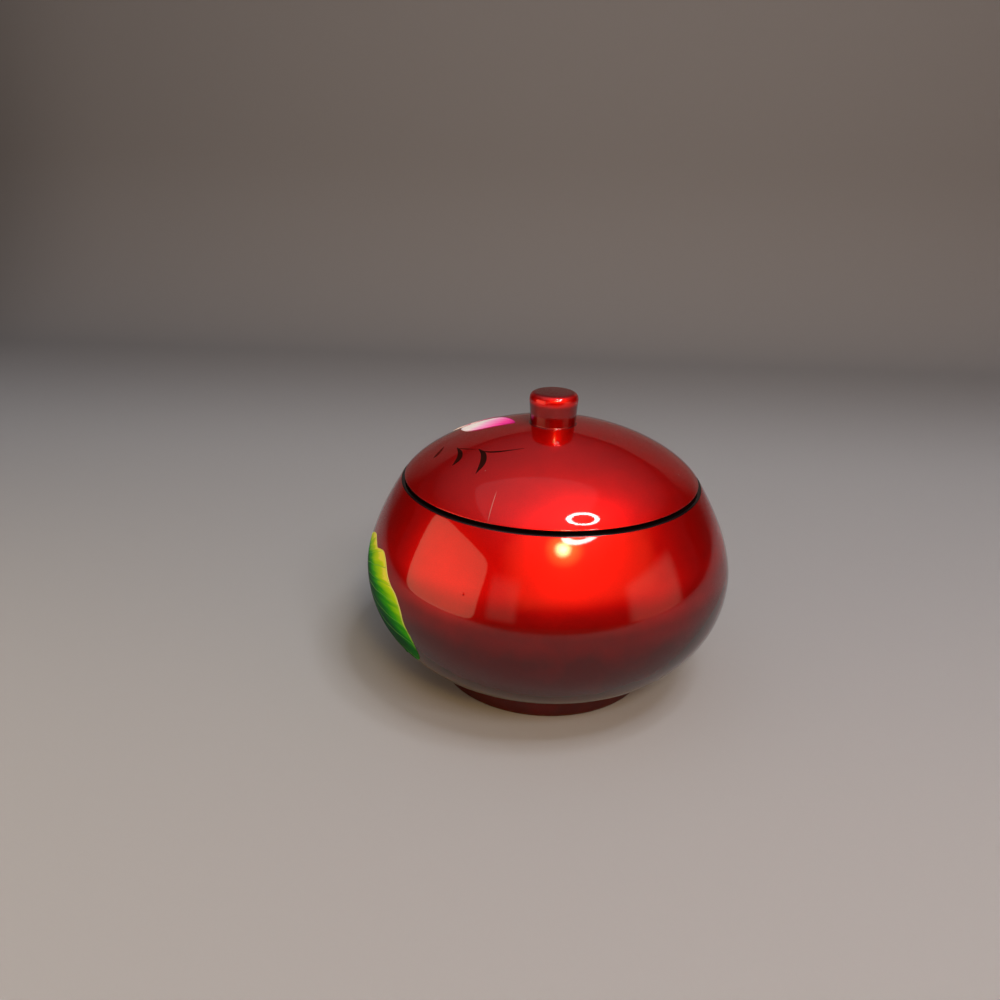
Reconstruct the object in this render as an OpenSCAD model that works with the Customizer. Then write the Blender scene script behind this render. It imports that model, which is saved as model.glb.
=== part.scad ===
// Covered bowl of turned and lacquered wood. A round, closed-in body stands on a low
// foot ring and carries a domed lid with a drum knob. Millimetres, +Z up, with the
// origin at the middle of the face that the bowl stands on. Every piece is turned,
// so each is one outline spun round the Z axis.

/* [Body] */
// Diameter of the body at its widest
belly_d = 160; // [146:1:190]
// Height of the widest place above the table
belly_z = 52.2; // [47:0.1:58]
// Thickness of the body's wall
belly_wall = 5.5; // [4.5:0.1:7]
// Thickness of the bottom, from the boss's face to the inside floor
bottom_wall = 5.8; // [4.8:0.1:7]
// Slope of the belly where it leaves the foot ring, in degrees
waist_angle = 13.4; // [8:0.1:22]

/* [Foot ring] */
// Outer diameter of the foot ring
foot_d = 94.6; // [90:0.2:104]
// Width of the foot ring, from its outside to its opening
foot_wall = 10.3; // [8:0.1:14]
// Height of the foot ring
foot_h = 7; // [6:0.1:9]
// How far in from the foot ring's outside the belly leaves its top
waist_in = 5; // [3:0.1:6.5]
// Depth of the body's boss in the foot ring
boss_h = 1.8; // [1:0.1:2.4]
// Radius of the foot ring's rounded edges
foot_round = 0.8; // [0.4:0.1:1.4]

/* [Seam] */
// Outer diameter at the seam of body and lid
seam_d = 127.8; // [120:0.2:136]
// Height of the middle of the seam above the table
seam_z = 92.3; // [86:0.1:100]
// Slope of body and lid at the seam, in degrees
seam_angle = 54.3; // [46:0.1:60]
// Height of the dark gap that shows at the seam
seam_gap = 1.3; // [0.8:0.1:1.8]
// Depth of the dark gap, inwards from the lid's edge
gap_depth = 2.8; // [2:0.1:3.6]
// Width of the ledge that the lid rests on
seat_w = 3.6; // [3:0.1:4.4]
// Radius of the rounded edges on both sides of the gap
seam_round = 0.7; // [0.3:0.1:1]

/* [Mouth ring] */
// Wall of the ring that stands up in the mouth
ring_wall = 2.6; // [2:0.1:3.4]
// Height of the ring above the ledge
ring_up = 3.5; // [2.6:0.1:4.4]
// Depth of the ring below the ledge
ring_down = 6; // [4:0.1:8]
// Clearance between the ring and the lid
ring_gap = 0.4; // [0.3:0.05:0.7]
// Chamfer that leads the lid over the ring
ring_chamfer = 0.8; // [0.4:0.1:1.2]
// Height of the lip that the ring stands on
lip_h = 1.5; // [1:0.1:2.5]
// Height of the hollow curve below the lip
cove_h = 6; // [4:0.1:9]

/* [Lid] */
// Rise of the dome above the seam
lid_rise = 24; // [21:0.1:30]
// Thickness of the lid
lid_wall = 5.5; // [5:0.1:6.5]

/* [Knob] */
// Diameter of the knob where it stands on the lid
knob_base_d = 19.2; // [16:0.1:24]
// Diameter of the knob below its rounded top edge
knob_top_d = 21.2; // [17:0.1:26]
// Height of the knob above the lid
knob_h = 13.9; // [11:0.1:18]
// Radius of the knob's top edge
knob_round = 2.5; // [1.5:0.1:3.5]
// Rise of the knob's slightly crowned top
knob_crown = 0.3; // [0.1:0.1:0.6]
// Diameter of the spigot glued into the lid
spigot_d = 9; // [7:0.1:11]
// Length of the spigot
spigot_h = 3.2; // [2:0.1:3.6]

/* [Curves] */
// Pull of the lower belly away from the foot, as a share of its spread
low_start_share = 0.505; // [0.4:0.005:0.6]
// Pull of the lower belly below the widest place, as a share of its height
low_end_share = 0.559; // [0.45:0.005:0.65]
// Pull of the upper belly above the widest place, as a share of its height
up_start_share = 0.387; // [0.3:0.005:0.5]
// Pull of the upper belly at the seam, as a share of its height
up_end_share = 0.101; // [0.08:0.005:0.2]
// Pull of the dome at the seam, as a share of the seam's radius
dome_start_share = 0.227; // [0.18:0.005:0.28]
// Pull of the dome at its top, as a share of the seam's radius
dome_end_share = 0.414; // [0.35:0.005:0.48]

/* [Hidden] */
$fn = 128;

// Straight steps along each curve, and along each small rounding
curve_steps = 40;
round_steps = 6;
// Halvings in the search for a place on a curve
search_steps = 24;
// Room for glue between the pieces that are glued together
glue_gap = 0.05;
// Pulls of the inside floor, as shares of its radius: at the middle and at its edge
floor_start_share = 0.5;
floor_end_share = 0.15;
// Pulls of the hollow curve below the lip, as a share of its height
cove_share = 0.6;
// Rounding of the knob's base and chamfer of its spigot, as a share of its top's rounding
knob_edge_share = 0.2;

belly_r = belly_d / 2;
foot_r = foot_d / 2;
foot_bore_r = foot_r - foot_wall;
waist_r = foot_r - waist_in;
boss_r = foot_bore_r - glue_gap;
boss_z = foot_h - boss_h;
floor_z = boss_z + bottom_wall;

seam_r = seam_d / 2;
seam_dir = [-cos(seam_angle), sin(seam_angle)];
ledge_z = seam_z - seam_gap / 2;
lid_edge_z = seam_z + seam_gap / 2;
apex_z = seam_z + lid_rise;

// Lower belly from the foot to the widest place, upper belly from there to the seam,
// and dome from the seam to the top: each is one cubic curve of [radius, height]
low_height = belly_z - foot_h;
up_height = seam_z - belly_z;
waist = [waist_r, foot_h];
widest = [belly_r, belly_z];
seam = [seam_r, seam_z];
low_belly = [
    waist,
    waist + low_start_share * (belly_r - waist_r) * [cos(waist_angle), sin(waist_angle)],
    widest - [0, low_end_share * low_height],
    widest
];
up_belly = [
    widest,
    widest + [0, up_start_share * up_height],
    seam - up_end_share * up_height * seam_dir,
    seam
];
dome = [
    seam,
    seam + dome_start_share * seam_r * seam_dir,
    [dome_end_share * seam_r, apex_z],
    [0, apex_z]
];

function point_on(c, t) =
    pow(1 - t, 3) * c[0] + 3 * pow(1 - t, 2) * t * c[1] + 3 * (1 - t) * t * t * c[2] + pow(t, 3) * c[3];
function heading(c, t) =
    pow(1 - t, 2) * (c[1] - c[0]) + 2 * (1 - t) * t * (c[2] - c[1]) + t * t * (c[3] - c[2]);
// Point on the curve, moved inwards by a wall's thickness
function inside_of(c, t, wall) =
    let (h = heading(c, t))
    point_on(c, t) + wall / norm(h) * [-h[1], h[0]];
// Place on a curve that climbs, moved inwards by wall, where it reaches height z
function place_at_z(c, z, wall, lo = 0, hi = 1, n = search_steps) =
    let (mid = (lo + hi) / 2)
    n == 0 ? mid
    : inside_of(c, mid, wall)[1] < z ? place_at_z(c, z, wall, mid, hi, n - 1)
    : place_at_z(c, z, wall, lo, mid, n - 1);
// Place on the dome where its radius has shrunk to r
function place_at_r(c, r, lo = 0, hi = 1, n = search_steps) =
    let (mid = (lo + hi) / 2)
    n == 0 ? mid
    : point_on(c, mid)[0] > r ? place_at_r(c, r, mid, hi, n - 1)
    : place_at_r(c, r, lo, mid, n - 1);
// Points along a curve between two places on it, moved inwards by wall
function run(c, from, to, wall = 0) =
    [for (i = [0 : curve_steps]) inside_of(c, from + (to - from) * i / curve_steps, wall)];
// Points that round the corner at b, from the side of a to the side of c
function rounded(a, b, c, r) =
    let (start = b + r * (a - b) / norm(a - b), end = b + r * (c - b) / norm(c - b))
    [for (i = [0 : round_steps])
        let (k = i / round_steps)
        pow(1 - k, 2) * start + 2 * (1 - k) * k * b + k * k * end];

// Where the outer curves meet the gap at the seam
ledge_place = place_at_z(up_belly, ledge_z, 0);
ledge_edge = point_on(up_belly, ledge_place);
lid_place = place_at_z(dome, lid_edge_z, 0);
lid_edge = point_on(dome, lid_place);
// The curves stop short of their edges by the length of the rounding
ledge_stop = place_at_z(up_belly, ledge_z - seam_round * seam_dir[1], 0);
lid_start = place_at_z(dome, lid_edge_z + seam_round * seam_dir[1], 0);

land_out_r = lid_edge[0] - gap_depth;
land_in_r = land_out_r - seat_w;
ring_out_r = land_in_r - ring_gap;
ring_in_r = ring_out_r - ring_wall;
ring_top_z = ledge_z + ring_up;
ring_foot_z = ledge_z - ring_down;
rebate_z = ring_top_z + ring_gap;
lip_z = ring_foot_z - lip_h;

knob_base_r = knob_base_d / 2;
knob_top_r = knob_top_d / 2;
knob_place = place_at_r(dome, knob_base_r);
knob_z = point_on(dome, knob_place)[1];
knob_top_z = knob_z + knob_h;
knob_edge = knob_edge_share * knob_round;
spigot_r = spigot_d / 2;

// Turned body: belly outside, boss for the foot below, rebate for the ring in the mouth
module bowl_shell() {
    cove_place = place_at_z(up_belly, lip_z - cove_h, belly_wall);
    cove_start = inside_of(up_belly, cove_place, belly_wall);
    cove_heading = heading(up_belly, cove_place);
    cove = [
        [ring_in_r, lip_z],
        [ring_in_r + cove_share * cove_h, lip_z],
        cove_start + cove_share * cove_h * cove_heading / norm(cove_heading),
        cove_start
    ];
    floor_edge = inside_of(low_belly, 0, belly_wall);
    inside_floor = [
        floor_edge,
        floor_edge - floor_end_share * floor_edge[0] * [cos(waist_angle), sin(waist_angle)],
        [floor_start_share * floor_edge[0], floor_z],
        [0, floor_z]
    ];
    color("firebrick")
    rotate_extrude()
    polygon(concat(
        [[0, boss_z], [boss_r, boss_z], [boss_r, foot_h]],
        run(low_belly, 0, 1),
        run(up_belly, 1 / curve_steps, ledge_stop),
        rounded(point_on(up_belly, ledge_stop), ledge_edge, [ring_out_r, ledge_z], seam_round),
        [[ring_out_r + glue_gap, ledge_z], [ring_out_r + glue_gap, ring_foot_z]],
        [[ring_in_r, ring_foot_z]],
        run(cove, 0, 1),
        run(up_belly, cove_place - 1 / curve_steps, 0, belly_wall),
        run(low_belly, 1 - 1 / curve_steps, 0, belly_wall),
        run(inside_floor, 1 / curve_steps, 1)
    ));
}

// Turned ring that the bowl stands on, glued round the boss
module foot_ring() {
    inner_low = [foot_bore_r, 0];
    outer_low = [foot_r, 0];
    outer_high = [foot_r, foot_h];
    inner_high = [foot_bore_r, foot_h];
    color("brown")
    rotate_extrude()
    polygon(concat(
        rounded(inner_high, inner_low, outer_low, foot_round),
        rounded(inner_low, outer_low, outer_high, foot_round),
        rounded(outer_low, outer_high, inner_high, foot_round),
        [inner_high]
    ));
}

// Ring glued in the mouth, which stands up and keeps the lid in the middle
module mouth_ring() {
    inner_high = [ring_in_r, ring_top_z];
    color("black")
    rotate_extrude()
    polygon(concat(
        [[ring_in_r, ring_foot_z], [ring_out_r, ring_foot_z]],
        [[ring_out_r, ring_top_z - ring_chamfer], [ring_out_r - ring_chamfer, ring_top_z]],
        rounded([ring_out_r, ring_top_z], inner_high, [ring_in_r, ring_foot_z], ring_chamfer)
    ));
}

// Domed lid: its land rests on the ledge, and its edge stays clear to leave the gap
module lid_shell() {
    rebate_place = place_at_z(dome, rebate_z, lid_wall);
    bore_r = spigot_r + glue_gap;
    bore_z = knob_z - spigot_h - glue_gap;
    color("firebrick")
    rotate_extrude()
    polygon(concat(
        [[0, bore_z], [bore_r, bore_z], [bore_r, knob_z]],
        run(dome, knob_place, lid_start),
        rounded(point_on(dome, lid_start), lid_edge, [land_out_r, lid_edge_z], seam_round),
        [[land_out_r, lid_edge_z], [land_out_r, ledge_z]],
        [[land_in_r + ring_chamfer, ledge_z], [land_in_r, ledge_z + ring_chamfer]],
        [[land_in_r, rebate_z]],
        run(dome, rebate_place, 1, lid_wall)
    ));
}

// Drum knob, wider at the top than at its base, with a spigot below
module knob() {
    base = [knob_base_r, knob_z];
    shoulder = [knob_top_r, knob_top_z - knob_crown];
    crown = [0, knob_top_z];
    color("firebrick")
    rotate_extrude()
    polygon(concat(
        [[0, knob_z - spigot_h], [spigot_r - knob_edge, knob_z - spigot_h]],
        [[spigot_r, knob_z - spigot_h + knob_edge], [spigot_r, knob_z]],
        rounded([spigot_r, knob_z], base, shoulder, knob_edge),
        rounded(base, shoulder, crown, knob_round),
        [crown]
    ));
}

bowl_shell();
foot_ring();
mouth_ring();
lid_shell();
knob();
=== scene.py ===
# Covered bowl of turned wood under candy-red lacquer, with a lotus painted round its left and
# back. Metres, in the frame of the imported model: +Z up, the viewer of the photograph at -Y.
import math

import bpy
from mathutils import Euler, Matrix, Vector


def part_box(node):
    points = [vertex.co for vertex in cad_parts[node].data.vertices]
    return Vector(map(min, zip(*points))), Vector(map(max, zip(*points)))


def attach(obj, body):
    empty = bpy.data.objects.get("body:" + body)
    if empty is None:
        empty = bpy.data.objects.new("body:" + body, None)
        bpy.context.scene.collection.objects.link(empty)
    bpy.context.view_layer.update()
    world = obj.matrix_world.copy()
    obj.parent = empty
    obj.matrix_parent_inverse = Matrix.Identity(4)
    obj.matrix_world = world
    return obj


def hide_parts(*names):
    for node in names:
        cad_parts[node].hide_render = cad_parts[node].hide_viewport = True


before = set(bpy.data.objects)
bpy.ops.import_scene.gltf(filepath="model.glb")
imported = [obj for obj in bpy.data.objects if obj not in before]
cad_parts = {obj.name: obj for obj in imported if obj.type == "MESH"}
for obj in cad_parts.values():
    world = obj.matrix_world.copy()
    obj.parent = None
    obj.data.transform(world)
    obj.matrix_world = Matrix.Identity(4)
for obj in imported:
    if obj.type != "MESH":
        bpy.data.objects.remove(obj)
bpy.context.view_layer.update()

MM = 0.001

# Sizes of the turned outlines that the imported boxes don't give, in millimetres
BELLY_Z = 52.2
BELLY_WALL = 5.5
BOTTOM_WALL = 5.8
FOOT_WALL = 10.3
FOOT_ROUND = 0.8
RECESS_FILLET = 0.8
BOSS_HIDDEN = 1.0
WAIST_IN = 5.0
WAIST_ANGLE = math.radians(13.4)
SEAM_R = 63.9
SEAM_ANGLE = math.radians(54.3)
SEAM_GAP = 1.3
SEAM_ROUND = 0.7
GAP_DEPTH = 2.8
SEAT_W = 3.6
RING_WALL = 2.6
RING_GAP = 0.4
RING_CHAMFER = 0.8
LIP_H = 1.5
COVE_H = 6.0
LID_RISE = 24.0
LID_WALL = 5.5
KNOB_BASE_R = 9.6
KNOB_TOP_R = 10.6
KNOB_ROUND = 3.6
KNOB_CROWN = 0.3
KNOB_CROWN_PULL = 3.0
KNOB_FILLET = 0.8
KNOB_SUNK = 1.0
SKIRT_SUNK = 0.05
SKIRT_IN = 0.5

# Pulls of the curves, as the shares that the part's source has
LOW_START, LOW_END = 0.505, 0.559
UP_START, UP_END = 0.387, 0.101
DOME_START, DOME_END = 0.227, 0.414
FLOOR_START, FLOOR_END = 0.5, 0.15
COVE_PULL = 0.6

# Steps along each curve, and round the axis
BELLY_STEPS = 72
COVE_STEPS = 16
INNER_WALL_STEPS = 40
INNER_FLOOR_STEPS = 20
DOME_STEPS = 96
CEILING_STEPS = 56
SHOULDER_STEPS = 16
CROWN_STEPS = 12
TURN_STEPS = 192
# Steps round a small rounded edge, and halvings when a place on a curve is looked for
ROUND_STEPS = 10
HALVINGS = 26

# The lacquer, in millimetres: waves of orange peel, specks of dust, clouds of uneven spray and
# flakes, drawn wider than real ones so that they just show
PEEL_WIDTH, PEEL_HEIGHT = 9, 0.016
DUST_APART, DUST_WIDTH, DUST_HEIGHT = 19, 0.3, 0.05
CLOUD_WIDTH = 14
FLAKE_WIDTH = 0.15
COAT_ROUGHNESS = 0.03

# Points closer than this become one, and faces that meet at less than this angle look smooth
WELD = 0.001 * MM
SMOOTH_BELOW = math.radians(30)

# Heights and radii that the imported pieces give
body_low, body_high = (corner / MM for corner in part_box("bowl_shell"))
ring_low, ring_high = (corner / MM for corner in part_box("mouth_ring"))
foot_high, lid_high, knob_high = (
    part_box(node)[1] / MM for node in ("foot_ring", "lid_shell", "knob"))
BELLY_R = body_high.x
BOSS_Z = body_low.z
LEDGE_Z = body_high.z
FOOT_R = foot_high.x
FOOT_H = foot_high.z
FOOT_BORE_R = FOOT_R - FOOT_WALL
RING_OUT_R = ring_high.x
RING_IN_R = RING_OUT_R - RING_WALL
SEAM_Z = LEDGE_Z + SEAM_GAP / 2
LID_EDGE_Z = SEAM_Z + SEAM_GAP / 2
APEX_Z = SEAM_Z + LID_RISE
KNOB_Z = lid_high.z
KNOB_TOP_Z = knob_high.z


def along(angle, length):
    return Vector((math.cos(angle), math.sin(angle))) * length


# Lower belly, upper belly and dome: cubic curves of (radius, height), as in the part's source
waist = Vector((FOOT_R - WAIST_IN, FOOT_H))
widest = Vector((BELLY_R, BELLY_Z))
seam = Vector((SEAM_R, SEAM_Z))
seam_climb = math.pi - SEAM_ANGLE
LOW_BELLY = (
    waist,
    waist + along(WAIST_ANGLE, LOW_START * (BELLY_R - waist.x)),
    widest - Vector((0, LOW_END * (BELLY_Z - FOOT_H))),
    widest,
)
UP_BELLY = (
    widest,
    widest + Vector((0, UP_START * (SEAM_Z - BELLY_Z))),
    seam - along(seam_climb, UP_END * (SEAM_Z - BELLY_Z)),
    seam,
)
DOME = (
    seam,
    seam + along(seam_climb, DOME_START * SEAM_R),
    Vector((DOME_END * SEAM_R, APEX_Z)),
    Vector((0, APEX_Z)),
)


def heading(curve, t):
    a, b, c, d = curve
    return ((1 - t) ** 2 * (b - a) + 2 * (1 - t) * t * (c - b) + t * t * (d - c)).normalized()


def spot_on(curve, t, inwards=0.0):
    """Point on a curve at share t, moved inwards through the wall, or outwards if negative."""
    a, b, c, d = curve
    spot = (1 - t) ** 3 * a + 3 * (1 - t) ** 2 * t * b + 3 * (1 - t) * t * t * c + t ** 3 * d
    h = heading(curve, t)
    return spot + inwards * Vector((-h.y, h.x))


def share_at(curve, axis, value, inwards=0.0):
    """Share at which a curve's radius (axis 0) or height (axis 1) passes a value."""
    low, high = 0.0, 1.0
    rises = spot_on(curve, 1, inwards)[axis] > spot_on(curve, 0, inwards)[axis]
    for _ in range(HALVINGS):
        middle = (low + high) / 2
        if (spot_on(curve, middle, inwards)[axis] < value) == rises:
            low = middle
        else:
            high = middle
    return middle


def run(curve, start, end, steps, inwards=0.0):
    shares = [start + (end - start) * i / steps for i in range(steps + 1)]
    return [spot_on(curve, t, inwards) for t in shares]


def rounded(a, b, c, radius, steps=ROUND_STEPS):
    """Points that round the corner at b, from the side of a to the side of c."""
    a, b, c = Vector(a), Vector(b), Vector(c)
    start = b + radius * (a - b).normalized()
    end = b + radius * (c - b).normalized()
    shares = [i / steps for i in range(steps + 1)]
    return [(1 - k) ** 2 * start + 2 * (1 - k) * k * b + k * k * end for k in shares]


# Materials

def hex_colour(code):
    """Linear colour of an sRGB hex value."""
    parts = [int(code[i:i + 2], 16) / 255 for i in (1, 3, 5)]
    return [p / 12.92 if p < 0.04045 else ((p + 0.055) / 1.055) ** 2.4 for p in parts] + [1.0]


def new_material(name):
    material = bpy.data.materials.new(name)
    material.use_nodes = True
    material.node_tree.nodes.clear()
    return material


def add(tree, kind, inputs=None, **settings):
    """Adds a node with its settings; an input takes a value or another node's output."""
    node = tree.nodes.new(kind)
    for name, value in settings.items():
        setattr(node, name, value)
    for name, value in (inputs or {}).items():
        if isinstance(value, bpy.types.NodeSocket):
            tree.links.new(value, node.inputs[name])
        else:
            node.inputs[name].default_value = value
    return node


def maths(tree, operation, *values, **settings):
    """Result of a Math node; each value is a number or another node's output."""
    return add(tree, "ShaderNodeMath", dict(enumerate(values)), operation=operation,
               **settings).outputs["Value"]


def ramp(tree, share, stops):
    """Colour ramp with stops of (position, colour)."""
    node = add(tree, "ShaderNodeValToRGB", {"Fac": share})
    steps = node.color_ramp.elements
    for _ in stops[2:]:
        steps.new(0.5)
    for step, (position, colour) in zip(steps, stops):
        step.position, step.color = position, colour
    return node


def repeats(millimetres):
    """Texture scale at which one cell of a pattern in Object coordinates is so many mm wide."""
    return 1 / (millimetres * MM)


def line_mask(tree, value, start, end):
    """Goes from 0 to 1 as the value goes from start to end."""
    return add(tree, "ShaderNodeMapRange", {
        "Value": value, "From Min": start, "From Max": end},
        interpolation_type="SMOOTHSTEP").outputs["Result"]


def painted_over(tree, share, under, over):
    """Colour that goes from the one under to the one over as the share goes from 0 to 1."""
    return add(tree, "ShaderNodeMix", {"Factor": share, 6: under, 7: over},
               data_type="RGBA").outputs[2]


def scratch_mask(tree, place, start, end, width):
    """1 along a short line over the lid, from and to (x, y) in millimetres, 0 elsewhere."""
    start, end = Vector((*start, 0)), Vector((*end, 0))
    line = end - start
    turned_to = add(tree, "ShaderNodeMapping", {
        "Vector": place, "Location": (start + end) / 2 * MM,
        "Rotation": (0, 0, math.atan2(line.y, line.x)),
        "Scale": (line.length / 2 * MM, width / 2 * MM, 1)}, vector_type="TEXTURE")
    apart = add(tree, "ShaderNodeSeparateXYZ", {"Vector": add(tree, "ShaderNodeVectorMath", {
        0: turned_to.outputs["Vector"]}, operation="ABSOLUTE").outputs["Vector"]})
    reach = maths(tree, "MAXIMUM", apart.outputs["X"], apart.outputs["Y"])
    return line_mask(tree, reach, 1.0, 0.4)


def nib_mask(tree, place, spot, radius):
    """A speck of dust under the coat: 1 at its middle, 0 at its radius, both in millimetres."""
    reach = add(tree, "ShaderNodeVectorMath", {0: place, 1: Vector(spot) * MM},
                operation="DISTANCE").outputs["Value"]
    return line_mask(tree, reach, radius * MM, 0.0)


def lacquer_skin(tree, nibs=()):
    """Normal of a hand-flatted clear coat: long orange peel, and specks of dust under it."""
    place = add(tree, "ShaderNodeTexCoord").outputs["Object"]
    waves = add(tree, "ShaderNodeTexNoise", {
        "Vector": place, "Scale": repeats(PEEL_WIDTH), "Detail": 1.5})
    dust = add(tree, "ShaderNodeTexVoronoi", {"Vector": place, "Scale": repeats(DUST_APART)})
    fine_nibs = line_mask(tree, dust.outputs["Distance"], DUST_WIDTH / DUST_APART, 0.0)
    skin = add(tree, "ShaderNodeBump", {
        "Height": waves.outputs["Fac"], "Strength": 1.0, "Distance": PEEL_HEIGHT * MM})
    skin = add(tree, "ShaderNodeBump", {
        "Height": fine_nibs, "Strength": 1.0, "Distance": DUST_HEIGHT * MM,
        "Normal": skin.outputs["Normal"]})
    for spot, radius in nibs:
        skin = add(tree, "ShaderNodeBump", {
            "Height": nib_mask(tree, place, spot, radius), "Strength": 1.0,
            "Distance": 0.25 * radius * MM, "Normal": skin.outputs["Normal"]})
    return skin.outputs["Normal"]


def candy_lacquer(name, shade_by_height, bright="#FF1008", shade_colour="#620603", scratches=(), nibs=(),
                  worn_and_highlit_up_to=None):
    """Candy-red lacquer: clear red over aluminium flake, so it glows where light falls on it
    and goes darker away from it. Some flakes lie flat and mirror, the rest scatter.
    The heights and shares (height in mm, share of bright), from low to high, paint shade and
    highlights into the colour: where the share is low, the shade colour is painted in, as painted
    shade.
    Scratches and nibs are places of wear, and the wood shows through up to a worn height, in a
    lighter brown that is also a painted highlight along the foot's bottom edge."""
    material = new_material(name)
    tree = material.node_tree
    place = add(tree, "ShaderNodeTexCoord").outputs["Object"]
    height = add(tree, "ShaderNodeSeparateXYZ", {"Vector": place}).outputs["Z"]
    # Painted shade by height: the red moves from bright to the shade colour where the share is low
    low, high = shade_by_height[0][0], shade_by_height[-1][0]
    level = add(tree, "ShaderNodeMapRange", {
        "Value": height, "From Min": low * MM, "From Max": high * MM})
    coat = ramp(tree, level.outputs["Result"],
                [((z - low) / (high - low), (share, share, share, 1)) for z, share in shade_by_height])
    coat.color_ramp.interpolation = "EASE"
    cloud = add(tree, "ShaderNodeTexNoise", {
        "Vector": place, "Scale": repeats(CLOUD_WIDTH), "Detail": 3.0})
    drift = add(tree, "ShaderNodeMapRange", {
        "Value": cloud.outputs["Fac"], "From Min": 0.3, "From Max": 0.7,
        "To Min": -0.05, "To Max": 0.05})
    blend = maths(tree, "ADD", coat.outputs["Color"], drift.outputs["Result"], use_clamp=True)
    red = painted_over(tree, blend, hex_colour(shade_colour), hex_colour(bright))
    flakes = add(tree, "ShaderNodeTexVoronoi", {"Vector": place, "Scale": repeats(FLAKE_WIDTH)})
    tone = add(tree, "ShaderNodeSeparateColor", {"Color": flakes.outputs["Color"]})
    rough = add(tree, "ShaderNodeMapRange", {
        "Value": tone.outputs["Red"], "From Min": 0.3, "From Max": 0.5,
        "To Min": 0.3, "To Max": 0.52})
    glint = add(tree, "ShaderNodeMapRange", {
        "Value": tone.outputs["Green"], "To Min": 0.86, "To Max": 1.0})
    base = add(tree, "ShaderNodeMix", {
        "Factor": 1.0, 6: red, 7: glint.outputs["Result"]},
        data_type="RGBA", blend_type="MULTIPLY")
    colour = base.outputs[2]
    for start, end, width in scratches:
        colour = painted_over(tree, scratch_mask(tree, place, start, end, width), colour,
                              hex_colour("#F0A090"))
    # Real wear and a painted highlight: up to this height the red is painted a lighter brown,
    # rubbed through to the wood, which is also a painted highlight along the foot's bottom edge
    if worn_and_highlit_up_to:
        rubs = add(tree, "ShaderNodeTexNoise", {
            "Vector": place, "Scale": repeats(2.5), "Detail": 5.0})
        worn = maths(tree, "MULTIPLY", line_mask(tree, height, worn_and_highlit_up_to * MM, 0.0),
                     line_mask(tree, rubs.outputs["Fac"], 0.4, 0.6))
        colour = painted_over(tree, worn, colour, hex_colour("#7A4426"))
    skin = lacquer_skin(tree, nibs)
    shader = add(tree, "ShaderNodeBsdfPrincipled", {
        "Base Color": colour,
        "Metallic": 0.95,
        "Roughness": rough.outputs["Result"],
        "Specular Tint": hex_colour("#4A0402"),
        "Normal": skin,
        "Coat Weight": 1.0,
        "Coat Roughness": COAT_ROUGHNESS,
        "Coat IOR": 1.5,
        "Coat Normal": skin,
    })
    add(tree, "ShaderNodeOutputMaterial", {"Surface": shader.outputs["BSDF"]})
    return material


def black_lacquer(name):
    """Gloss black lacquer, sprayed inside and underneath and rubbed dull where the bowl stands."""
    material = new_material(name)
    tree = material.node_tree
    place = add(tree, "ShaderNodeTexCoord").outputs["Object"]
    height = add(tree, "ShaderNodeSeparateXYZ", {"Vector": place}).outputs["Z"]
    rubs = add(tree, "ShaderNodeTexNoise", {"Vector": place, "Scale": repeats(3), "Detail": 5.0})
    low = add(tree, "ShaderNodeMapRange", {
        "Value": height, "From Min": 0.0, "From Max": 0.5 * MM, "To Min": 1.0, "To Max": 0.0})
    worn = maths(tree, "MULTIPLY", low.outputs["Result"], rubs.outputs["Fac"])
    colour = painted_over(tree, worn, hex_colour("#0E0707"), hex_colour("#4A3A30"))
    rough = add(tree, "ShaderNodeMapRange", {
        "Value": worn, "From Max": 0.6, "To Min": 0.16, "To Max": 0.6})
    skin = lacquer_skin(tree)
    shader = add(tree, "ShaderNodeBsdfPrincipled", {
        "Base Color": colour,
        "Roughness": rough.outputs["Result"],
        "Specular IOR Level": 0.35,
        "Normal": skin,
    })
    add(tree, "ShaderNodeOutputMaterial", {"Surface": shader.outputs["BSDF"]})
    return material


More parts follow.
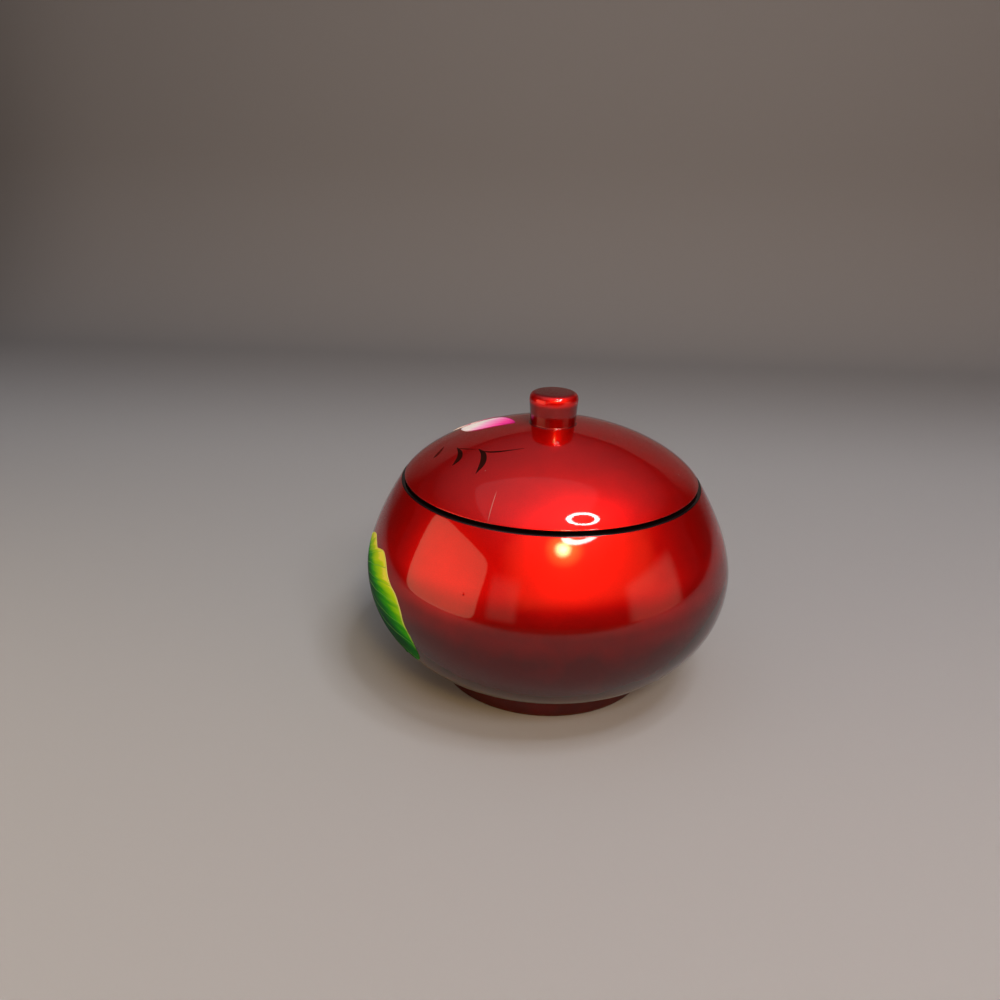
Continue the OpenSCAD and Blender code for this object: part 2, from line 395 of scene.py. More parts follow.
def brush_paint(name, stops, streaks, edge=None, veins=None, shade_low_down=None):
    """Hand-brushed enamel, shaded wet in wet along the stroke. Its UV has 0 to 1 across a stroke
    and 0 to 1 along it, or round a leaf's rim and out from its heart. An edge is (way, width,
    colour), on both sides of a stroke or at a leaf's rim. Veins are (way, count, width, colour),
    along a petal or in a fan from a leaf's heart. The painted shade is two (height in mm, step
    along the stops): a leaf is painted darker low down and a little lighter high up."""
    material = new_material(name)
    tree = material.node_tree
    stroke = add(tree, "ShaderNodeTexCoord").outputs["UV"]
    parts = add(tree, "ShaderNodeSeparateXYZ", {"Vector": stroke})
    stretched = add(tree, "ShaderNodeMapping", {"Vector": stroke, "Scale": streaks})
    bristles = add(tree, "ShaderNodeTexNoise", {
        "Vector": stretched.outputs["Vector"], "Scale": 1.0, "Detail": 4.0})
    wander = add(tree, "ShaderNodeMapRange", {
        "Value": bristles.outputs["Fac"], "From Min": 0.25, "From Max": 0.75,
        "To Min": -0.08, "To Max": 0.08})
    share = maths(tree, "ADD", parts.outputs["Y"], wander.outputs["Result"], use_clamp=True)
    # Painted shade: low on the belly the leaf's colour moves down the stops, darker, and high up a
    # little up them, lighter
    if shade_low_down:
        (low, low_step), (high, high_step) = shade_low_down
        place = add(tree, "ShaderNodeTexCoord").outputs["Object"]
        height = add(tree, "ShaderNodeSeparateXYZ", {"Vector": place}).outputs["Z"]
        sunk = add(tree, "ShaderNodeMapRange", {
            "Value": height, "From Min": low * MM, "From Max": high * MM,
            "To Min": low_step, "To Max": high_step})
        share = maths(tree, "ADD", share, sunk.outputs["Result"], use_clamp=True)
    shade = ramp(tree, share, [(position, hex_colour(code)) for position, code in stops])
    colour = shade.outputs["Color"]
    if veins:
        way, count, width, code = veins
        slow = add(tree, "ShaderNodeTexNoise", {
            "Vector": stroke, "Scale": 5.0, "Detail": 1.0}).outputs["Fac"]
        bent = maths(tree, "MULTIPLY_ADD", slow, 0.5 / count, parts.outputs["X"])
        off_line = maths(tree, "PINGPONG", maths(tree, "MULTIPLY", bent, count), 0.5)
        if way == "fan":
            # One width in mm all the way out from the heart
            off_line = maths(tree, "MULTIPLY", off_line, parts.outputs["Y"])
        fine = maths(tree, "MULTIPLY", line_mask(tree, off_line, width, 0.0), 0.6)
        colour = painted_over(tree, fine, colour, hex_colour(code))
    if edge:
        way, width, code = edge
        # It fades towards a petal's base, and low down on a leaf
        if way == "across":
            reach = maths(tree, "ABSOLUTE",
                          maths(tree, "MULTIPLY_ADD", parts.outputs["X"], 2.0, -1.0))
            shown = line_mask(tree, parts.outputs["Y"], 0.25, 0.6)
        else:
            reach = parts.outputs["Y"]
            shown = line_mask(tree, share, 0.55, 0.95)
        rim = maths(tree, "MULTIPLY", line_mask(tree, reach, 1 - width, 1 - width / 3), shown)
        colour = painted_over(tree, rim, colour, hex_colour(code))
    shader = add(tree, "ShaderNodeBsdfPrincipled", {
        "Base Color": colour,
        "Roughness": 0.5,
        "Specular IOR Level": 0.0,
        "Coat Weight": 0.15,
        "Coat Roughness": COAT_ROUGHNESS,
        "Coat IOR": 1.34,
        "Coat Normal": lacquer_skin(tree),
    })
    add(tree, "ShaderNodeOutputMaterial", {"Surface": shader.outputs["BSDF"]})
    return material


# Turning

def drawn_line(name, points):
    """New piece in edit mode: a point drawn from each place, in metres, to the next, with the
    whole line selected."""
    bpy.ops.object.select_all(action="DESELECT")
    bpy.ops.mesh.primitive_plane_add(size=MM)
    piece = bpy.context.object
    piece.name = name
    bpy.ops.object.mode_set(mode="EDIT")
    bpy.ops.mesh.select_all(action="SELECT")
    bpy.ops.mesh.merge(type="CENTER")
    bpy.ops.transform.translate(value=points[0])
    for a, b in zip(points, points[1:]):
        step = tuple(q - p for p, q in zip(a, b))
        bpy.ops.mesh.extrude_vertices_move(TRANSFORM_OT_translate={"value": step})
    bpy.ops.mesh.select_all(action="SELECT")
    return piece


def turned(name, outline):
    """Draws a line along an outline of (radius, height) in millimetres and spins it."""
    piece = drawn_line(name, [(radius * MM, 0, z * MM) for radius, z in outline])
    bpy.ops.mesh.spin(steps=TURN_STEPS, angle=math.tau, center=(0, 0, 0), axis=(0, 0, 1))
    bpy.ops.mesh.select_all(action="SELECT")
    bpy.ops.mesh.remove_doubles(threshold=WELD)
    bpy.ops.mesh.normals_make_consistent(inside=False)
    bpy.ops.object.mode_set(mode="OBJECT")
    bpy.ops.object.shade_smooth_by_angle(angle=SMOOTH_BELOW)
    return piece


def lacquer_two(piece, red, black, is_red):
    """Red lacquer where is_red says so by a face's outward lean, normal and height, black else."""
    piece.data.materials.append(red)
    piece.data.materials.append(black)
    for face in piece.data.polygons:
        outwards = face.normal.xy.dot(face.center.xy.normalized())
        face.material_index = 0 if is_red(outwards, face.normal.z, face.center.z / MM) else 1


def body_outline():
    floor_z = BOSS_Z + BOTTOM_WALL
    ring_foot_z = ring_low.z
    lip_z = ring_foot_z - LIP_H
    stop = share_at(UP_BELLY, 1, LEDGE_Z - SEAM_ROUND * math.sin(SEAM_ANGLE))
    edge = spot_on(UP_BELLY, share_at(UP_BELLY, 1, LEDGE_Z))
    cove_share = share_at(UP_BELLY, 1, lip_z - COVE_H, BELLY_WALL)
    cove_start = spot_on(UP_BELLY, cove_share, BELLY_WALL)
    cove = (
        Vector((RING_IN_R, lip_z)),
        Vector((RING_IN_R + COVE_PULL * COVE_H, lip_z)),
        cove_start + COVE_PULL * COVE_H * heading(UP_BELLY, cove_share),
        cove_start,
    )
    floor_edge = spot_on(LOW_BELLY, 0, BELLY_WALL)
    inside_floor = (
        floor_edge,
        floor_edge - along(WAIST_ANGLE, FLOOR_END * floor_edge.x),
        Vector((FLOOR_START * floor_edge.x, floor_z)),
        Vector((0, floor_z)),
    )
    # The boss: its underside, a fillet of lacquer in the recess's corner, and its side, which is
    # hidden inside the foot ring
    hidden_r = FOOT_BORE_R + BOSS_HIDDEN
    inner_step = 1 / INNER_WALL_STEPS
    return (
        [(0, BOSS_Z)]
        + rounded((0, BOSS_Z), (FOOT_BORE_R, BOSS_Z), (FOOT_BORE_R, 0), RECESS_FILLET)
        + [(hidden_r, BOSS_Z), (hidden_r, FOOT_H)]
        + run(LOW_BELLY, 0, 1, BELLY_STEPS)
        + run(UP_BELLY, 1 / BELLY_STEPS, stop, BELLY_STEPS)
        + rounded(spot_on(UP_BELLY, stop), edge, (RING_OUT_R, LEDGE_Z), SEAM_ROUND)
        + [(RING_OUT_R, LEDGE_Z), (RING_OUT_R, ring_foot_z), (RING_IN_R, ring_foot_z)]
        + run(cove, 0, 1, COVE_STEPS)
        + run(UP_BELLY, cove_share - inner_step, 0, INNER_WALL_STEPS, BELLY_WALL)
        + run(LOW_BELLY, 1 - inner_step, 0, INNER_WALL_STEPS, BELLY_WALL)
        + run(inside_floor, 1 / INNER_FLOOR_STEPS, 1, INNER_FLOOR_STEPS)
    )


def foot_outline():
    inner_low, outer_low = (FOOT_BORE_R, 0), (FOOT_R, 0)
    outer_high, inner_high = (FOOT_R, FOOT_H), (FOOT_BORE_R, FOOT_H)
    return (
        [inner_high]
        + rounded(inner_high, inner_low, outer_low, FOOT_ROUND)
        + rounded(inner_low, outer_low, outer_high, FOOT_ROUND)
        + rounded(outer_low, outer_high, inner_high, FOOT_ROUND)
        + [inner_high]
    )


def mouth_ring_outline():
    low, high = ring_low.z, ring_high.z
    return (
        [(RING_IN_R, low), (RING_OUT_R, low)]
        + rounded((RING_OUT_R, low), (RING_OUT_R, high), (RING_IN_R, high), RING_CHAMFER)
        + rounded((RING_OUT_R, high), (RING_IN_R, high), (RING_IN_R, low), RING_CHAMFER)
        + [(RING_IN_R, low)]
    )


def lid_outline():
    start = share_at(DOME, 1, LID_EDGE_Z + SEAM_ROUND * math.sin(SEAM_ANGLE))
    edge = spot_on(DOME, share_at(DOME, 1, LID_EDGE_Z))
    land_out_r = edge.x - GAP_DEPTH
    land_in_r = land_out_r - SEAT_W
    rebate_z = ring_high.z + RING_GAP
    inside = share_at(DOME, 1, rebate_z, LID_WALL)
    return (
        run(DOME, 1, start, DOME_STEPS)
        + rounded(spot_on(DOME, start), edge, (land_out_r, LID_EDGE_Z), SEAM_ROUND)
        + [(land_out_r, LID_EDGE_Z), (land_out_r, LEDGE_Z)]
        + [(land_in_r + RING_CHAMFER, LEDGE_Z), (land_in_r, LEDGE_Z + RING_CHAMFER)]
        + [(land_in_r, rebate_z)]
        + run(DOME, inside, 1, CEILING_STEPS, LID_WALL)
    )


def knob_outline():
    base = Vector((KNOB_BASE_R, KNOB_Z))
    shoulder = Vector((KNOB_TOP_R, KNOB_TOP_Z - KNOB_CROWN))
    crown = Vector((0, KNOB_TOP_Z))
    inwards = (crown - shoulder).normalized()
    top_edge = shoulder + KNOB_ROUND * inwards
    crowned = (
        top_edge,
        top_edge + KNOB_CROWN_PULL * inwards,
        Vector((KNOB_CROWN_PULL, KNOB_TOP_Z)),
        crown,
    )
    skirt = spot_on(DOME, share_at(DOME, 0, KNOB_BASE_R + KNOB_FILLET), SKIRT_SUNK)
    return (
        [(0, KNOB_Z - KNOB_SUNK), (skirt.x - SKIRT_IN, KNOB_Z - KNOB_SUNK), tuple(skirt)]
        + rounded(skirt, base, shoulder, KNOB_FILLET)
        + rounded(base, shoulder, crown, KNOB_ROUND, SHOULDER_STEPS)
        + run(crowned, 1 / CROWN_STEPS, 1, CROWN_STEPS)
    )


# The heights and shares paint shade into the red: painted shade low on the belly, on the knob's
# side and top and on the whole foot, and the lid slightly darker towards its top. The knob's
# rounded top edge is painted bright, a painted highlight, and the shoulder and lid stay bright
body_red = candy_lacquer("body_candy_lacquer", ((44, 0), (55, 0.14), (63, 0.42), (72, 0.86)),
                         nibs=(((-30.8, -69.8, 68.5), 0.8),))
lid_red = candy_lacquer(
    "lid_candy_lacquer", ((80, 1), (110, 0.9)),
    scratches=(((-20.2, -47.5), (-23.0, -59.3), 0.35), ((-25.6, -36.4), (-25.9, -36.9), 0.5),
               ((52.4, -15.2), (53.2, -16.0), 0.4)))
# Knob: painted shade on its side and top, and a painted highlight on its rounded top edge
knob_red = candy_lacquer("knob_candy_lacquer", (
    (105, 1), (111, 1), (114.5, 0.2), (124.2, 0.22), (126.2, 0.95), (128.6, 1), (129.5, 0.3)))
# The foot is all in the shade colour, painted shade, with a lighter brown band at its bottom edge
# that is wear and a painted highlight
foot_red = candy_lacquer("foot_candy_lacquer", ((10, 0), (60, 0)), worn_and_highlit_up_to=1.6)
inside_black = black_lacquer("black_lacquer")

# Where the red stops: faces that look inwards or steeply down are black, and the black of the
# seam comes a little way over the body's edge, black lacquer lapped over it that also paints
# shade along the seam
SEAM_BLACK = 0.35
STEEPLY_DOWN = -0.7
SLACK = 0.1

body = turned("body", body_outline())
lacquer_two(body, body_red, inside_black, lambda out, up, z: (
    out > SLACK and FOOT_H - SLACK < z < LEDGE_Z - SEAM_BLACK))
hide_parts("bowl_shell")
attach(body, "bowl")

foot = turned("foot", foot_outline())
lacquer_two(foot, foot_red, inside_black, lambda out, up, z: out > -SLACK and up > STEEPLY_DOWN)
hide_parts("foot_ring")
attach(foot, "bowl")

mouth = turned("mouth", mouth_ring_outline())
mouth.data.materials.append(inside_black)
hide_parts("mouth_ring")
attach(mouth, "bowl")

lid = turned("lid", lid_outline())
lacquer_two(lid, lid_red, inside_black, lambda out, up, z: up > 0 and z > LID_EDGE_Z)
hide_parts("lid_shell")
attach(lid, "lid")

drum_knob = turned("drum_knob", knob_outline())
drum_knob.data.materials.append(knob_red)
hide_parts("knob")
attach(drum_knob, "lid")


# Painting

# Thickness of a film in millimetres, most of it sunk in the lacquer
FILM_DEPTH = 0.3
# Points of a film closer than this become one, and below this angle its faces look smooth
FILM_WELD = 0.002 * MM
FILM_SMOOTH_BELOW = math.radians(40)
# Grids of the films, in faces across and along, or round a leaf and out from its heart
LEAF_GRID = (256, 28)
SMALL_LEAF_GRID = (192, 20)
PETAL_GRID = (14, 36)
STROKE_GRID = (6, 28)
BELLY_GRID = (12, 32)
# How far the outer sides of the strokes stand off the lacquer; stamens lie over the petals
STROKE_LIFT = 0.06
STAMEN_LIFT = 0.3
# Millimetres round the belly for one degree, at its widest
DEGREE = math.pi * BELLY_R / 180


def smooth_at(points, share, closed=False):
    """Value at a share of the way along a smooth line through evenly spaced points."""
    last = len(points) - (0 if closed else 1)
    place = min(max(share, 0), 1) * last
    i = min(int(place), last - 1)
    t = place - i
    if closed:
        a, b, c, d = (points[(i + k) % last] for k in (-1, 0, 1, 2))
    else:
        a, b, c, d = (points[min(max(i + k, 0), last)] for k in (-1, 0, 1, 2))
    bend = (2 * a - 5 * b + 4 * c - d) * t + (3 * b - 3 * c + d - a) * t * t
    return 0.5 * (2 * b + (c - a) * t + bend * t)


def on_belly(spot, lift):
    """Point on the belly: spot is (degrees to the right of the viewer's side, height)."""
    lon, z = math.radians(spot.x), spot.y
    curve = LOW_BELLY if z < BELLY_Z else UP_BELLY
    turned_spot = spot_on(curve, share_at(curve, 1, z), -lift)
    return Vector((turned_spot.x * math.sin(lon), -turned_spot.x * math.cos(lon), turned_spot.y))


def on_lid(spot, lift):
    """Point on the lid: spot is (x, y) in plan."""
    turned_spot = spot_on(DOME, share_at(DOME, 0, spot.length), -lift)
    outwards = spot.normalized() * turned_spot.x
    return Vector((outwards.x, outwards.y, turned_spot.y))


def paint_film(name, across, length, place, paint, body_name, slot):
    """Lays a grid over the lacquer by place(u, v), in millimetres, and thickens it inwards."""
    bpy.ops.object.select_all(action="DESELECT")
    bpy.ops.mesh.primitive_grid_add(x_subdivisions=across, y_subdivisions=length, size=1)
    film = bpy.context.object
    film.name = name
    for vertex in film.data.vertices:
        vertex.co = place(vertex.co.x + 0.5, vertex.co.y + 0.5) * MM
    bpy.ops.object.mode_set(mode="EDIT")
    bpy.ops.mesh.select_all(action="SELECT")
    bpy.ops.mesh.remove_doubles(threshold=FILM_WELD)
    bpy.ops.object.mode_set(mode="OBJECT")
    wall = film.modifiers.new("wall", "SOLIDIFY")
    wall.thickness = FILM_DEPTH * MM
    wall.offset = -1
    bpy.ops.object.modifier_apply(modifier="wall")
    bpy.ops.object.shade_smooth_by_angle(angle=FILM_SMOOTH_BELOW)
    film.data.materials.append(paint)
    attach(film, body_name)


def stroke_place(surface, spine, widths, lift, stretch=1.0):
    """Brush stroke along a spine, of half widths in mm that change along it. Stretch is the
    length in mm of one step sideways on the surface."""
    nearby = 0.01

    def place(u, v):
        middle = smooth_at(spine, v)
        ahead = smooth_at(spine, v + nearby) - smooth_at(spine, v - nearby)
        ahead.x *= stretch
        side = Vector((ahead.y, -ahead.x)).normalized() * smooth_at(widths, v) * (2 * u - 1)
        side.x /= stretch
        return surface(middle + side, lift)
    return place


def lid_spot(lon, radius):
    lon = math.radians(lon)
    return Vector((radius * math.sin(lon), -radius * math.cos(lon)))


# The leaf is painted darker low on the belly, painted shade
LEAF = brush_paint(
    "leaf_green", ((0.0, "#0E453E"), (0.45, "#0E4722"), (0.6, "#107519"), (0.73, "#3AB00E"),
                   (0.84, "#96DC12"), (0.95, "#CCEA1E"), (1.0, "#F0F050")),
    (60, 3, 1), edge=("out", 0.02, "#D8E070"), veins=("fan", 22, 0.045, "#6CC147"),
    shade_low_down=((34, -0.42), (62, 0.06)))
PETAL = brush_paint(
    "petal_pink", ((0.0, "#FFFFFF"), (0.36, "#FFFFFF"), (0.55, "#FFADE1"), (0.78, "#FF48AF"),
                   (1.0, "#BA0A78")),
    (14, 1.5, 1), edge=("across", 0.12, "#AD116D"), veins=("along", 6, 0.06, "#FF8ED4"))
STAMEN = brush_paint("stamen_yellow", ((0.0, "#DDAA13"), (1.0, "#FFFA76")), (4, 1, 1))
STEM = brush_paint("stem_green", ((0.0, "#226417"), (1.0, "#69AA20")), (4, 2, 1),
                   edge=("across", 0.5, "#114113"))
INK = brush_paint("ink_black", ((0.0, "#200906"), (1.0, "#2B0C09")), (4, 1, 1))
THIN_INK = brush_paint("thin_ink", ((0.0, "#550C0A"), (1.0, "#430A08")), (4, 1, 1))

# Leaf on the belly: its rim, clockwise as it is seen, as (degrees, height)
LEAF_RIM = [Vector(p) for p in (
    (-97, 58.5), (-90, 60.5), (-84, 64.2), (-79, 67.6), (-74.4, 69.4), (-70.6, 68.4),
    (-67.7, 67.2), (-64.6, 68.2), (-61.4, 68.7), (-58, 66.4), (-54.8, 62.4), (-52.0, 59.8),
    (-48.5, 57.3), (-45.8, 52.6), (-44.4, 46.9), (-42.3, 42.2), (-41.2, 37.7), (-41.5, 31.5),
    (-46, 27), (-54, 29), (-62, 25), (-72, 27), (-82, 22), (-92, 25), (-104, 22), (-114, 27),
    (-124, 27), (-133, 34), (-138, 43), (-145, 48), (-143, 58), (-136, 62), (-131, 69),
    (-122, 70.5), (-114, 66.5), (-105, 61))]
LEAF_HEART = Vector((-96, 46))


def leaf_place(rim, heart, lift):
    def place(u, v):
        edge = smooth_at(rim, u, closed=True)
        return on_belly(heart + (edge - heart) * v, lift)
    return place


LEAF_LIFT = 0.1
paint_film("lotus_leaf", *LEAF_GRID, leaf_place(LEAF_RIM, LEAF_HEART, LEAF_LIFT), LEAF, "bowl",
           "red_lacquer_body")
# Small leaf at the back: an oval 34 degrees wide and 30 mm tall, with a wavy rim
SMALL_LEAF_HEART = Vector((-190, 50))
RIM_POINTS = 24
rim_angles = [-math.tau * k / RIM_POINTS for k in range(RIM_POINTS)]
SMALL_LEAF_RIM = [SMALL_LEAF_HEART + Vector((
    (17 + 1.2 * math.sin(5 * a)) * math.cos(a), (15 + 1.6 * math.sin(3 * a + 1)) * math.sin(a)))
    for a in rim_angles]
paint_film("small_leaf", *SMALL_LEAF_GRID,
           leaf_place(SMALL_LEAF_RIM, SMALL_LEAF_HEART, LEAF_LIFT), LEAF, "bowl",
           "red_lacquer_body")

# Half widths along a stroke, as shares of its widest
PETAL_WIDTHS = (0.0, 0.62, 0.87, 0.98, 1.0, 0.87, 0.6, 0.29, 0.0)
SLIM_WIDTHS = (0.0, 0.42, 0.74, 0.95, 1.0, 0.87, 0.6, 0.29, 0.0)
HANGING_WIDTHS = (0.55, 0.74, 0.9, 0.98, 1.0, 0.87, 0.6, 0.29, 0.0)
BLADE_WIDTHS = (0.1, 0.75, 1.0, 0.85, 0.05)
THIN_WIDTHS = (0.3, 0.9, 1.0, 0.5, 0.1)
STAMEN_WIDTHS = (0.7, 0.8, 0.8, 1.0, 1.1, 2.2, 1.4)

# Petals on the lid: name, paint, half width in mm, its shares, lift in mm so that they lie over
# each other, and the spine in plan, (x, y) in mm
LID_PAINTING = (
    ("petal_1", PETAL, 10.0, SLIM_WIDTHS, 0.12,
     ((-40.3, 17.2), (-32.8, 12.0), (-24.5, 6.2), (-16, 0.5))),
    ("petal_2", PETAL, 6.5, PETAL_WIDTHS, 0.2, ((-45.5, 31), (-38, 32), (-30, 34.5), (-23, 38))),
    ("petal_3", PETAL, 6.0, PETAL_WIDTHS, 0.16, ((-45.5, 31), (-41, 35), (-36, 40.5), (-31, 48))),
    ("petal_4", PETAL, 5.0, PETAL_WIDTHS, 0.24,
     ((-46, 29), (-42, 29.5), (-37, 31.5), (-31.5, 34.5))),
    ("petal_5", PETAL, 4.6, PETAL_WIDTHS, 0.28,
     ((-46, 30), (-43.5, 33), (-39.8, 37), (-36.5, 43))),
)
# Strokes of ink on the lid, with their spines in (degrees to the right of the front, radius)
LID_STROKES = (
    ("branch", INK, 0.45, THIN_WIDTHS,
     ((-50.7, 36.5), (-44.8, 35.3), (-38.6, 33.2), (-31.5, 30.5), (-23.5, 27.9))),
    ("twig", THIN_INK, 0.35, THIN_WIDTHS, ((-69, 41.8), (-65, 40.2), (-60, 38.4), (-55.5, 36.6))),
    ("blade_1", INK, 1.25, BLADE_WIDTHS,
     ((-55.1, 36.4), (-48.1, 37.2), (-42.6, 40.0), (-39.8, 43.3), (-38.5, 47.4))),
    ("blade_2", INK, 1.15, BLADE_WIDTHS,
     ((-70.4, 41.8), (-63.3, 42.2), (-58.3, 44.0), (-56.3, 46.1), (-55.5, 48.4))),
    ("blade_3", THIN_INK, 0.9, BLADE_WIDTHS,
     ((-81.1, 46.3), (-77.4, 48.0), (-74.7, 49.8), (-73.3, 51.4))),
    ("blade_4", INK, 1.2, BLADE_WIDTHS, ((-172, 60), (-168, 52), (-166, 45), (-167, 38))),
    ("blade_5", INK, 1.0, BLADE_WIDTHS, ((-179, 60), (-178, 53), (-179, 47), (-183, 42))),
    ("blade_6", INK, 0.9, BLADE_WIDTHS, ((-164, 61), (-160, 56), (-158, 51), (-158, 46))),
)
# Seven stamens that fan out between the petals, the middle one the longest
STAMENS = tuple(
    ("stamen_%d" % (k + 1), STAMEN, 0.3, STAMEN_WIDTHS,
     ((-127.5, 53 + 0.5 * k), (-132.5, 50.7 + 0.93 * k), (-137.5, 48.4 + 1.37 * k),
      (-143.5 + 0.4 * abs(k - 3), 46.1 + 1.8 * k)))
    for k in range(7))
# Strokes and petals on the belly, with a lift as well, and their spines in (degrees to the right
# of the front, height)
BELLY_STROKES = (
    ("stem_1", STEM, 0.8, THIN_WIDTHS, 0.12, ((-121, 88), (-126, 68), (-131, 48), (-134, 32))),
    ("stem_2", STEM, 0.8, THIN_WIDTHS, 0.08, ((-186, 48), (-180, 42), (-175, 34), (-172, 26))),
    ("stem_3", STEM, 0.7, THIN_WIDTHS, 0.08, ((-156, 66), (-153, 54), (-153, 42), (-157, 28))),
    ("drooping_petal_1", PETAL, 4.6, HANGING_WIDTHS, 0.2,
     ((-117.5, 90.6), (-114, 84), (-110, 76), (-107, 66))),
    ("drooping_petal_2", PETAL, 4.8, HANGING_WIDTHS, 0.24,
     ((-121, 90.6), (-120.5, 82), (-121, 73), (-122.5, 63))),
    ("drooping_petal_3", PETAL, 4.4, HANGING_WIDTHS, 0.2,
     ((-124.5, 90.6), (-128.5, 84), (-133.5, 77), (-140, 70))),
    ("bud_1", PETAL, 4.4, PETAL_WIDTHS, 0.12, ((-156, 63), (-157, 69), (-158, 75), (-160, 81))),
    ("bud_2", PETAL, 3.0, PETAL_WIDTHS, 0.2, ((-154.5, 63), (-153.6, 68), (-154, 73), (-156, 77))),
    ("bud_3", PETAL, 3.0, PETAL_WIDTHS, 0.24, ((-157.5, 63), (-160, 67), (-162, 72), (-162, 77))),
    ("reed_1", INK, 1.3, BLADE_WIDTHS, 0.06, ((-166, 24), (-164, 36), (-160, 46), (-163, 56))),
    ("reed_2", INK, 1.1, BLADE_WIDTHS, 0.06, ((-168, 24), (-169, 33), (-172, 41), (-177, 46))),
    ("reed_3", INK, 1.2, BLADE_WIDTHS, 0.06, ((-150, 24), (-148, 34), (-149, 44), (-146, 52))),
)
for name, paint, width, shape, lift, spine in LID_PAINTING:
    place = stroke_place(on_lid, [Vector(p) for p in spine], [width * w for w in shape], lift)
    paint_film(name, *PETAL_GRID, place, paint, "lid", "red_lacquer_lid")
for name, paint, width, shape, spine in LID_STROKES + STAMENS:
    lift = STAMEN_LIFT if paint is STAMEN else STROKE_LIFT
    place = stroke_place(on_lid, [lid_spot(*spot) for spot in spine],
                         [width * w for w in shape], lift)
    paint_film(name, *STROKE_GRID, place, paint, "lid", "red_lacquer_lid")
for name, paint, width, shape, lift, spine in BELLY_STROKES:
    place = stroke_place(on_belly, [Vector(p) for p in spine], [width * w for w in shape],
                         lift, DEGREE)
    paint_film(name, *BELLY_GRID, place, paint, "bowl", "red_lacquer_body")


# Studio

def stand(name, outline, width):
    """Floor and backdrop in one sheet: a line along the outline of (y, z), pulled sideways."""
    sheet = drawn_line(name, [(-width / 2, y, z) for y, z in outline])
    bpy.ops.mesh.extrude_edges_move(TRANSFORM_OT_translate={"value": (width, 0, 0)})
    bpy.ops.object.mode_set(mode="OBJECT")
    bpy.ops.object.shade_smooth_by_angle(angle=SMOOTH_BELOW)
    return sheet


FLOOR_FRONT_Y = -2.5
BEND_Y = 0.62
BEND_R = 0.2
BACKDROP_TOP_Z = 0.6
SHEET_WIDTH = 5
bend = [(BEND_Y + BEND_R * math.sin(math.radians(a)), BEND_R - BEND_R * math.cos(math.radians(a)))
        for a in range(0, 91, 6)]
studio = stand("studio_sheet", [(FLOOR_FRONT_Y, 0)] + bend + [(BEND_Y + BEND_R, BACKDROP_TOP_Z)],
               SHEET_WIDTH)
paper = new_material("studio_paper")
paper_place = add(paper.node_tree, "ShaderNodeTexCoord").outputs["Object"]
paper_parts = add(paper.node_tree, "ShaderNodeSeparateXYZ", {"Vector": paper_place})
# Pale floor that turns to a greyer backdrop before the bend, and is painted darker outside the
# picture, painted shade where the lamps' light falls off
paper_tone = painted_over(
    paper.node_tree, line_mask(paper.node_tree, paper_parts.outputs["Y"], 0.25, BEND_Y),
    hex_colour("#A0A7AD"), hex_colour("#888A8C"))
paper_side = maths(paper.node_tree, "ABSOLUTE", paper_parts.outputs["X"])
for paper_reach, near, far in ((paper_side, 0.55, 1.0),
                               (paper_parts.outputs["Y"], -0.3, -0.55)):
    paper_tone = painted_over(
        paper.node_tree, line_mask(paper.node_tree, paper_reach, near, far),
        paper_tone, hex_colour("#404142"))
paper_shader = add(paper.node_tree, "ShaderNodeBsdfPrincipled", {
    "Base Color": paper_tone, "Roughness": 0.85, "Specular IOR Level": 0.2})
add(paper.node_tree, "ShaderNodeOutputMaterial", {"Surface": paper_shader.outputs["BSDF"]})
studio.data.materials.append(paper)

# The lamps face this place, in the middle of the belly
AIM = Vector((0, 0, 0.07))
CORNER_POWER = 8.0
HOLE_FADE = 0.06
# Keeps the range of an edge that doesn't fade from being empty
HAIR = 0.001


def lamp(name, azimuth, elevation, distance, width, height, watts, colour,
         hole=0.0, soft=0.0, round_lamp=False):
    """Area lamp that faces the bowl from an azimuth (0 at the viewer, 90 at +X) and elevation.
    A round one is a disc, or a ring round a hole; soft is how far in its edge fades."""
    light = bpy.data.lights.new(name, "AREA")
    light.shape = "RECTANGLE"
    light.size, light.size_y = width, height
    light.energy = watts
    light.color = hex_colour(colour)[:3]
    holder = bpy.data.objects.new(name, light)
    bpy.context.scene.collection.objects.link(holder)
    az, el = math.radians(azimuth), math.radians(elevation)
    away = Vector((math.sin(az) * math.cos(el), -math.cos(az) * math.cos(el), math.sin(el)))
    holder.location = AIM + away * distance
    holder.rotation_euler = away.to_track_quat("Z", "Y").to_euler()
    holder.visible_camera = False
    light.use_nodes = True
    tree = light.node_tree
    tree.nodes.clear()
    across = add(tree, "ShaderNodeNewGeometry").outputs["Parametric"]
    apart = add(tree, "ShaderNodeMapping", {
        "Vector": across, "Location": (-1, -1, 0), "Scale": (2, 2, 0)}).outputs["Vector"]
    if round_lamp:
        reach = add(tree, "ShaderNodeVectorMath", {0: apart}, operation="LENGTH").outputs["Value"]
    else:
        # A rectangle with round corners
        sides = add(tree, "ShaderNodeSeparateXYZ", {"Vector": apart})
        powers = [maths(tree, "POWER", maths(tree, "ABSOLUTE", sides.outputs[side]), CORNER_POWER)
                  for side in ("X", "Y")]
        reach = maths(tree, "POWER", maths(tree, "ADD", *powers), 1 / CORNER_POWER)
    edge = add(tree, "ShaderNodeMapRange", {
        "Value": reach, "From Min": 1 - soft, "From Max": 1 + HAIR, "To Min": 1.0, "To Max": 0.0},
        interpolation_type="SMOOTHSTEP")
    middle = line_mask(tree, reach, hole - HOLE_FADE, hole + HAIR)
    shine = maths(tree, "MULTIPLY", edge.outputs["Result"], middle)
    glow = add(tree, "ShaderNodeEmission", {"Strength": shine})
    add(tree, "ShaderNodeOutputLight", {"Surface": glow.outputs["Emission"]})
    return holder


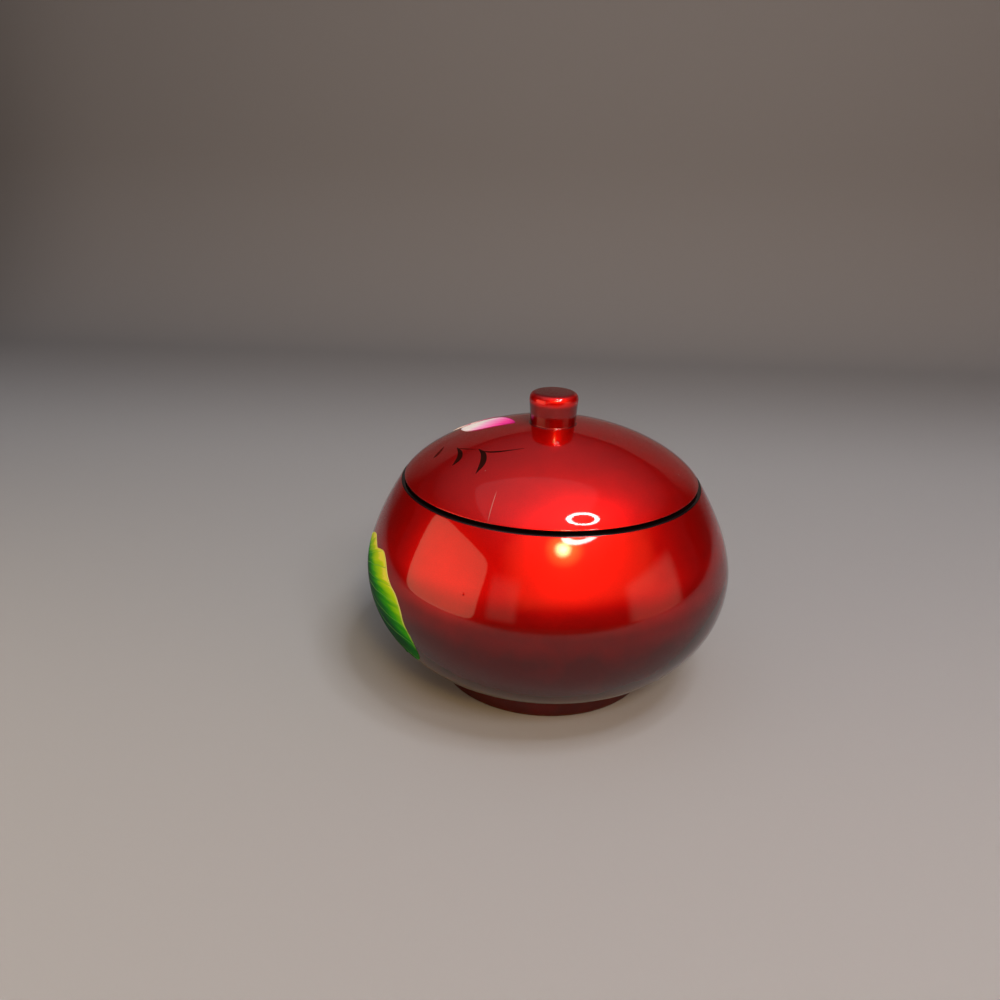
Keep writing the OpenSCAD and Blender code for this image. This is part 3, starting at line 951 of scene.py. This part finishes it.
# Two ring lamps make the bright rings on the lid and below the seam, a small warm lamp and its
# halo the spot beside them, and the panels the pale patches on the belly
lamp("lid_ring_lamp", 46, 66, 1.1, 0.35, 0.34, 12.5, "#FFF6F4", hole=0.68, soft=0.12,
     round_lamp=True)
lamp("belly_ring_lamp", 26, 42, 1.1, 0.48, 0.2, 8, "#FFF4F0", hole=0.55, soft=0.14,
     round_lamp=True)
lamp("warm_lamp", 11.5, 36.3, 1.2, 0.27, 0.17, 9.5, "#FFD694", soft=1.0, round_lamp=True)
lamp("warm_halo", 13, 37, 1.2, 0.58, 0.38, 8, "#FFB850", soft=1.0, round_lamp=True)
lamp("front_softbox", 25, 32, 1.0, 2.4, 0.9, 4.2, "#FFA060", soft=0.4)
lamp("window_softbox", -62.2, 10.5, 0.5, 0.47, 0.32, 0.64, "#FFE0B4", soft=0.05)
lamp("second_softbox", -24, 10, 0.8, 0.3, 0.42, 0.2, "#FFD8B8", soft=0.5)
lamp("right_softbox", 66, 5, 0.8, 0.6, 0.4, 0.5, "#FFDCC0", soft=0.35)
ceiling = lamp("ceiling_softbox", -5, 82, 1.05, 1.1, 1.12, 0.85, "#F4F6FF", soft=0.06)
# Its edge draws the arc over the left front of the lid
ceiling.location.x -= 0.16

world = bpy.data.worlds.new("dim_room")
bpy.context.scene.world = world
world.use_nodes = True
world.node_tree.nodes.clear()
# Dim at eye level, paler overhead
room_way = add(world.node_tree, "ShaderNodeSeparateXYZ", {
    "Vector": add(world.node_tree, "ShaderNodeTexCoord").outputs["Generated"]})
room_glow = add(world.node_tree, "ShaderNodeMapRange", {
    "Value": room_way.outputs["Z"], "From Min": 0.5, "From Max": 1.0,
    "To Min": 0.03, "To Max": 0.36})
room = add(world.node_tree, "ShaderNodeBackground", {
    "Color": hex_colour("#EEF0FA"), "Strength": room_glow.outputs["Result"]})
add(world.node_tree, "ShaderNodeOutputWorld", {"Surface": room.outputs["Background"]})

# Camera fitted to the outline in the photograph; its angles are in radians
LENS = 33.05
CAMERA_PLACE = (0, -0.37613, 0.22987)
LOOK_DOWN, LOOK_LEFT, ROLL = 0.3803, 0.0579, 0.0233
camera_data = bpy.data.cameras.new("camera")
camera = bpy.data.objects.new("camera", camera_data)
bpy.context.scene.collection.objects.link(camera)
camera_data.lens = LENS
camera.location = CAMERA_PLACE
turn = Euler((math.pi / 2 - LOOK_DOWN, 0, LOOK_LEFT)).to_matrix() @ Matrix.Rotation(ROLL, 3, "Z")
camera.rotation_euler = turn.to_euler()
bpy.context.scene.camera = camera
bpy.context.scene.view_settings.view_transform = "Standard"
